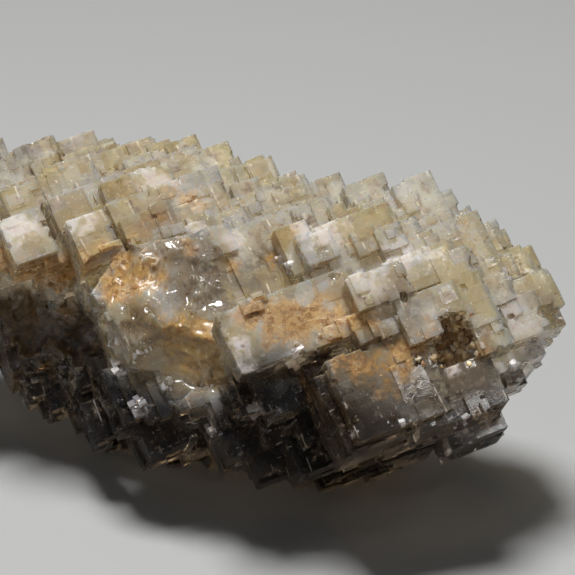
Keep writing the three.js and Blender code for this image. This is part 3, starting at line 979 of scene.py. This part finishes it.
def crystal_mesh():
    """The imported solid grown, bitten, broken, hollowed, strewn with chips and marked."""
    mesh = solid_copy()
    for row in GROWTH["rows"]:
        mesh = boolean(mesh, fine_blocks(mesh, row), "UNION")
    mesh = boolean(mesh, bites(mesh), "DIFFERENCE")
    broken = scars(mesh) + balls(mesh, HOLLOW, "hollow", Solid.BROKEN)
    mesh = boolean(mesh, broken, "DIFFERENCE")
    mesh = boolean(mesh, laths(mesh), "UNION")
    earthy = balls(mesh, POCKET, "pocket", Solid.EARTH)
    mesh = boolean(mesh, earthy + [underfloor()], "DIFFERENCE")
    mesh = boolean(mesh, grains(mesh) + chips(mesh) + bright_chips(mesh), "UNION")
    mesh = marked(refined(mesh))
    mesh.set_sharp_from_angle(angle=math.radians(SHARP_ANGLE))
    kinds = np.zeros(len(mesh.polygons), np.float32)
    mesh.attributes["kind"].data.foreach_get("value", kinds)
    mesh.polygons.foreach_set("use_smooth", kinds > SMOOTH_ABOVE)
    return mesh


# -------- material


class Nodes:
    """Short ways to add and join the nodes of one material."""

    def __init__(self, material):
        material.use_nodes = True
        self.tree = material.node_tree
        self.shader = self.tree.nodes["Principled BSDF"]
        self.output = self.tree.nodes["Material Output"]

    def add(self, kind, settings=None, **inputs):
        """A new node with its settings and named inputs filled in."""
        node = self.tree.nodes.new(kind)
        for name, value in (settings or {}).items():
            setattr(node, name, value)
        for name, value in inputs.items():
            self.put(node.inputs[name.replace("_", " ")], value)
        return node

    def put(self, socket, value):
        """Joins another node's output to an input, or sets a plain value on it."""
        if isinstance(value, bpy.types.NodeSocket):
            self.tree.links.new(value, socket)
        else:
            socket.default_value = value

    def math(self, operation, a, b=0.0, clamp=False):
        """A calculation on two values, or on the first alone."""
        node = self.add("ShaderNodeMath", {"operation": operation, "use_clamp": clamp})
        self.put(node.inputs[0], a)
        self.put(node.inputs[1], b)
        return node.outputs[0]

    def times(self, a, b):
        """One value times another."""
        return self.math("MULTIPLY", a, b)

    def most(self, a, b):
        """The greater of two values."""
        return self.math("MAXIMUM", a, b)

    def equal(self, value, number, nearness):
        """1 where a value is near a number, and 0 elsewhere."""
        node = self.add("ShaderNodeMath", {"operation": "COMPARE"})
        for socket, given in zip(node.inputs, (value, number, nearness)):
            self.put(socket, given)
        return node.outputs[0]

    def band(self, value, name):
        """A value run smoothly through one of the BANDS."""
        low, high, to_low, to_high = (BANDS[name] + (0.0, 1.0))[:4]
        return self.ramp(value, low, high, to_low, to_high)

    def ramp(self, value, low, high, to_low=0.0, to_high=1.0):
        """A smooth step from one value at the low end to another at the high end."""
        node = self.add("ShaderNodeMapRange", {"interpolation_type": "SMOOTHSTEP"}, Value=value)
        ends = (("From Min", low), ("From Max", high), ("To Min", to_low), ("To Max", to_high))
        for name, number in ends:
            node.inputs[name].default_value = number
        return node.outputs[0]

    def mix(self, share, a, b):
        """Two colours mixed."""
        node = self.add("ShaderNodeMix", {"data_type": "RGBA"})
        self.put(node.inputs["Factor"], share)
        colours = [s for s in node.inputs if s.type == "RGBA"]
        self.put(colours[0], a)
        self.put(colours[1], b)
        return [s for s in node.outputs if s.type == "RGBA"][0]

    def tinted(self, share, body, name):
        """A colour with a share of one of the TINTS mixed in."""
        return self.mix(share, body, tint(name))

    def mark(self, name):
        """A value marked on the mesh."""
        return self.add("ShaderNodeAttribute", {"attribute_name": name}).outputs["Fac"]

    def noise(self, place, size, detail, rough):
        """Noise with spots of some size in mm."""
        node = self.add("ShaderNodeTexNoise", Vector=place, Scale=1 / size)
        self.put(node.inputs["Detail"], detail)
        self.put(node.inputs["Roughness"], rough)
        return node.outputs["Fac"]

    def lines(self, place, axis):
        """Thin uneven planes across one axis. At scale 1 they are pi / 10 apart."""
        node = self.add("ShaderNodeTexWave", {"bands_direction": axis}, Vector=place)
        node.inputs["Scale"].default_value = math.pi / 10 / PLANES[axis]
        node.inputs["Distortion"].default_value = PLANE_WANDER
        node.inputs["Detail"].default_value = 0.0
        node.inputs["Detail Scale"].default_value = 1.0
        return self.band(node.outputs["Fac"], "plane")

    def shade(self, place, size):
        """A random value for each block of a grid of uneven blocks."""
        settings = {"distance": "CHEBYCHEV", "feature": "F1"}
        blocks = self.add("ShaderNodeTexVoronoi", settings, Vector=place, Scale=1 / size)
        return self.add("ShaderNodeSeparateColor", Color=blocks.outputs["Color"]).outputs["Red"]


def tint(name):
    """One of the TINTS, opaque."""
    return TINTS[name] + (1.0,)


def surface_values(n):
    """What the colours are made from: places, noises, marks and kinds of surface."""
    in_mm = n.add("ShaderNodeVectorMath", {"operation": "SCALE"}, Scale=1 / MM)
    n.put(in_mm.inputs[0], n.add("ShaderNodeTexCoord").outputs["Object"])
    place = in_mm.outputs[0]
    turn = LATTICE_AXES.transposed().to_euler("XYZ")
    turned = n.add("ShaderNodeVectorRotate", {"rotation_type": "EULER_XYZ"}, Rotation=turn)
    n.put(turned.inputs["Vector"], place)
    v = {name: n.noise(place, *shape) for name, shape in NOISES.items()}
    v["local"] = turned.outputs[0]
    v["inner"] = n.shade(v["local"], INNER_BLOCK)
    for name in ("tone", "kind", "low"):
        v[name] = n.mark(name)
    v["earthy"] = n.math("GREATER_THAN", v["kind"], EARTHY_ABOVE)
    not_crystal = n.math("GREATER_THAN", v["kind"], SMOOTH_ABOVE)
    v["broken"] = n.math("SUBTRACT", not_crystal, v["earthy"])
    return v


def add_patches(n, v):
    """Patches with ragged edges: their marks are moved up and down by noise."""
    middling, fine = (
        n.times(n.math("SUBTRACT", v[name], 0.5), far) for name, far in WANDER.items()
    )
    wander = n.math("ADD", middling, fine)
    for name, soft in SOFTNESS.items():
        v[name] = n.ramp(n.math("ADD", n.mark(name), wander), 0.5 - soft, 0.5 + soft)
    # Chips are whitened with frost, which stands in for painted glints on them.
    chip = n.equal(v["kind"], Solid.CHIP, SAME_KIND)
    v["frost_and_glint"] = n.most(v["frost_and_glint"], n.times(chip, SHOWS["frosted_chip_glint"]))
    v["thin_rust"] = n.times(v["rust"], n.band(v["fine"], "rust_thins"))
    v["all_dirt"] = n.most(n.times(v["dirt"], SHOWS["dirt"]), v["earthy"])


def add_white(n, v):
    """White specks and thin veils in the crystal. In the dark lower part the specks stand in for
    painted glints.
    """
    veil = n.times(n.lines(v["local"], "X"), n.band(v["middling"], "veil"))
    across = n.times(n.lines(v["local"], "Z"), n.band(v["fine"], "veil"))
    veil = n.most(veil, n.times(across, v["low"]))
    specks_and_glints = n.times(n.band(v["grain"], "speck_grain"), n.band(v["fine"], "speck_fine"))
    # Low down the specks are painted glints, kept at half strength.
    specks_and_glints = n.times(specks_and_glints, n.band(v["low"], "speck_glints_low"))
    v["white"] = n.most(n.times(specks_and_glints, SHOWS["specks_and_glints"]), n.times(veil, SHOWS["veil"]))


def crystal_colour(n, v):
    """The crystal itself: it turns in patches and from block to block, and below the line it is clear
    and painted dark with shade.
    """
    body = n.mix(n.band(v["broad"], "straw"), tint("cream"), tint("straw"))
    body = n.tinted(n.band(v["tone"], "lilac"), body, "lilac")
    body = n.tinted(n.band(v["tone"], "tan"), body, "tan")
    body = n.tinted(n.band(v["inner"], "milk"), body, "milk")
    body = n.tinted(n.band(v["inner"], "tea"), body, "tea")
    for name in ("honey", "smoke"):
        body = n.tinted(n.times(v[name], SHOWS[name]), body, name)
    # Below the line the colour is painted shade, partly the dark clear crystal itself.
    dark = n.band(v["middling"], "shaded_clear_brown")
    body = n.mix(v["low"], body, n.mix(dark, tint("shaded_clear_grey"), tint("shaded_clear_brown")))
    # The brown carries painted shade low down, and the frost carries painted glints.
    for name in ("brown_and_shade", "frost_and_glint"):
        body = n.tinted(n.times(v[name], SHOWS[name]), body, name)
    return n.tinted(v["white"], body, "white")


def stained_colour(n, v, body):
    """Rust, cracks and earth over the crystal's colour. The earth's dark colour in the hollow and the
    recess is partly painted shade.
    """
    rusty = n.mix(n.band(v["fine"], "rust"), tint("dark_rust"), tint("rust"))
    rusty = n.tinted(n.band(v["grain"], "ochre"), rusty, "ochre")
    body = n.mix(n.times(v["thin_rust"], SHOWS["rust"]), body, rusty)
    from_line = n.math("ABSOLUTE", n.math("SUBTRACT", v["middling"], CRACK_LEVEL))
    crack = n.times(n.band(from_line, "crack"), n.band(v["broad"], "crack_broad"))
    crack = n.times(crack, n.band(v["broken"], "crack_broken"))
    body = n.tinted(n.times(crack, SHOWS["crack"]), body, "crack")
    # Earth, partly painted shade in the hollow and the recess.
    earth = n.mix(n.band(v["fine"], "dark_dirt_and_shade"), tint("dirt"), tint("dark_dirt_and_shade"))
    crumbs = n.mix(n.band(v["tone"], "dark_crumb"), tint("crumb"), tint("dark_crumb"))
    return n.mix(v["all_dirt"], body, n.mix(v["earthy"], earth, crumbs))


def opacity(n, v):
    """How much light the stains, the white specks and the frost with its painted glints stop."""
    opaque = n.times(v["thin_rust"], STOPS["rust"])
    opaque = n.most(opaque, n.times(v["all_dirt"], STOPS["dirt"]))
    opaque = n.most(opaque, v["white"])
    return n.most(opaque, n.times(v["frost_and_glint"], STOPS["frost_and_glint"]))


def clearness(n, v):
    """How much light each part of the surface lets through."""
    through = THROUGH["body"]
    for name in ("broken", "smoke", "low"):
        through = n.most(through, n.times(v[name], THROUGH[name]))
    return n.math("MULTIPLY", through, n.math("SUBTRACT", 1.0, v["opaque"]), clamp=True)


def roughness(n, v):
    """Each block has its own polish. Stains are dull."""
    polish = n.math("FRACT", n.times(v["tone"], POLISH_STEP))
    rough = n.math("ADD", n.band(polish, "rough_block"), n.band(v["middling"], "rough_spots"))
    rough = n.times(rough, n.band(v["low"], "rough_low"))
    rough = n.times(rough, n.band(v["broken"], "rough_broken"))
    return n.most(rough, n.times(v["opaque"], STAIN_ROUGHNESS))


def scratches(n, v):
    """Fine relief, drawn out along the lattice and weaker low down."""
    drawn = n.add("ShaderNodeVectorMath", {"operation": "MULTIPLY"})
    n.put(drawn.inputs[0], v["local"])
    n.put(drawn.inputs[1], RELIEF["drawn"])
    relief = n.noise(drawn.outputs[0], RELIEF["size"], RELIEF["detail"], RELIEF["rough"])
    relief = n.times(relief, n.band(v["low"], "relief_low"))
    bump = n.add("ShaderNodeBump", Strength=BUMP["strength"], Height=relief)
    n.put(bump.inputs["Distance"], BUMP["depth"] * MM)
    return bump.outputs[0]


def crystal_material():
    """Cloudy to clear fluorite with its stains."""
    material = bpy.data.materials.new("fluorite")
    n = Nodes(material)
    v = surface_values(n)
    add_patches(n, v)
    add_white(n, v)
    v["opaque"] = opacity(n, v)
    inputs = n.shader.inputs
    n.put(inputs["Base Color"], stained_colour(n, v, crystal_colour(n, v)))
    n.put(inputs["Transmission Weight"], clearness(n, v))
    n.put(inputs["Roughness"], roughness(n, v))
    n.put(inputs["Normal"], scratches(n, v))
    inputs["IOR"].default_value = OPTICS["ior"]
    inputs["Subsurface Weight"].default_value = 1.0
    inputs["Subsurface Radius"].default_value = OPTICS["glow_by_colour"]
    inputs["Subsurface Scale"].default_value = OPTICS["glow"] * MM
    absorb = n.add("ShaderNodeVolumeAbsorption", Color=tint("absorbed"), Density=OPTICS["absorption"])
    n.put(n.output.inputs["Volume"], absorb.outputs[0])
    return material


# -------- piece, floor, light, camera


def crystals(mesh):
    """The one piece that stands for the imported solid."""
    piece = bpy.data.objects.new("fluorite_crystals", mesh)
    bpy.context.scene.collection.objects.link(piece)
    mesh.materials.clear()
    mesh.materials.append(crystal_material())
    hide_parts(NODE)
    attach(piece, "root")


def floor():
    """A plain pale floor."""
    half = FLOOR["half"] * MM
    corners = [(-half, -half, 0), (half, -half, 0), (half, half, 0), (-half, half, 0)]
    mesh = bpy.data.meshes.new("floor")
    mesh.from_pydata(corners, [], [(0, 1, 2, 3)])
    ob = bpy.data.objects.new("floor", mesh)
    bpy.context.scene.collection.objects.link(ob)
    material = bpy.data.materials.new("floor")
    material.use_nodes = True
    shader = material.node_tree.nodes["Principled BSDF"]
    shader.inputs["Base Color"].default_value = FLOOR["colour"]
    shader.inputs["Roughness"].default_value = FLOOR["roughness"]
    mesh.materials.append(material)


def light(name, place, size, power):
    """A round light aimed at the middle."""
    data = bpy.data.lights.new(name, "AREA")
    data.shape = "DISK"
    data.size = size * MM
    data.energy = power
    ob = bpy.data.objects.new(name, data)
    ob.location = MIDDLE + Vector(place) * MM
    ob.rotation_euler = (MIDDLE - ob.location).to_track_quat("-Z", "Y").to_euler()
    bpy.context.scene.collection.objects.link(ob)


def lights():
    """The studio's lights and its dim surroundings."""
    for name, shape in LIGHTS.items():
        light(name, **shape)
    world = bpy.data.worlds.new("studio")
    world.use_nodes = True
    background = world.node_tree.nodes["Background"]
    background.inputs["Color"].default_value = WORLD["colour"]
    background.inputs["Strength"].default_value = WORLD["strength"]
    bpy.context.scene.world = world


def camera():
    """A camera at the photo's viewing angle, aimed at the middle."""
    data = bpy.data.cameras.new("camera")
    data.sensor_width = CAMERA["sensor"]
    data.lens = CAMERA["sensor"] * CAMERA["distance"] / CAMERA["width"]
    data.clip_start = CAMERA["nearest"] * MM
    data.clip_end = CAMERA["farthest"] * MM
    ob = bpy.data.objects.new("camera", data)
    ob.location = EYE
    ob.rotation_euler = (-SIGHT_OUT).to_track_quat("-Z", "Y").to_euler()
    bpy.context.scene.collection.objects.link(ob)
    bpy.context.scene.camera = ob


# -------- all together

camera()
crystals(crystal_mesh())
floor()
lights()
bpy.context.scene.view_settings.view_transform = "Standard"
